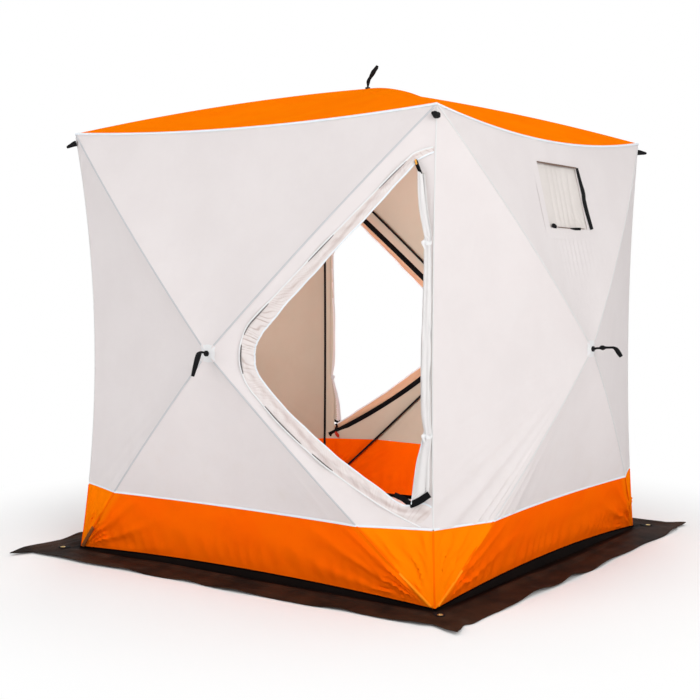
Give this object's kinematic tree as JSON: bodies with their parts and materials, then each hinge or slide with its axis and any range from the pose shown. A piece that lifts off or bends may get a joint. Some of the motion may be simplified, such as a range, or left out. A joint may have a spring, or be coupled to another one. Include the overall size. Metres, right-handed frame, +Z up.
{
  "type": "ice fishing hut",
  "caption": "Pop-up cube hut for ice fishing: hub-and-rod frame pushing out stretched fabric walls and roof, open zip doors, blinded windows and a snow skirt.",
  "frame": {"origin": "on the ice, under the middle of the hut", "axes": "+Z up; the front wall, with the nearer door, faces -Y; the nearer window wall faces +X"},
  "size_m": [2.4334, 2.3217, 2.1139],
  "materials": {
    "white_fabric": "coated woven fabric, off-white outside and tan inside",
    "orange_fabric": "coated woven fabric, bright orange",
    "skirt_fabric": "black tarpaulin with a dull sheen",
    "black_webbing": "matt black webbing and tape",
    "rod_fibreglass": "black pultruded fibreglass, slight sheen",
    "black_plastic": "moulded black plastic"
  },
  "bodies": {
    "root": {"roof_canopy": "orange_fabric", "front_top_panel": "white_fabric", "front_left_panel": "white_fabric", "front_door_panel": "white_fabric", "front_bottom_panel": "white_fabric", "right_window_panel": "white_fabric", "right_front_panel": "white_fabric", "right_back_panel": "white_fabric", "right_bottom_panel": "white_fabric", "back_top_panel": "white_fabric", "back_right_panel": "white_fabric", "back_door_panel": "white_fabric", "back_bottom_panel": "white_fabric", "left_window_panel": "white_fabric", "left_back_panel": "white_fabric", "left_front_panel": "white_fabric", "left_bottom_panel": "white_fabric", "front_band": "orange_fabric", "right_band": "orange_fabric", "back_band": "orange_fabric", "left_band": "orange_fabric", "front_snow_skirt": "skirt_fabric", "right_snow_skirt": "skirt_fabric", "back_snow_skirt": "skirt_fabric", "left_snow_skirt": "skirt_fabric", "front_storm_flap": "white_fabric", "back_storm_flap": "white_fabric", "front_door_zip": "black_webbing", "back_door_zip": "black_webbing", "front_door_roll": "white_fabric", "back_door_roll": "white_fabric", "right_window_blind": "white_fabric", "left_window_blind": "white_fabric", "front_rods": "rod_fibreglass", "right_rods": "rod_fibreglass", "back_rods": "rod_fibreglass", "left_rods": "rod_fibreglass", "roof_rods": "rod_fibreglass", "front_hub": "black_plastic", "right_hub": "black_plastic", "back_hub": "black_plastic", "left_hub": "black_plastic", "roof_hub": "black_plastic", "pull_straps": "black_webbing", "top_corner_tabs": "black_webbing", "corner_sockets": "black_plastic", "peg_tabs": "black_webbing"}
  },
  "joints": []
}
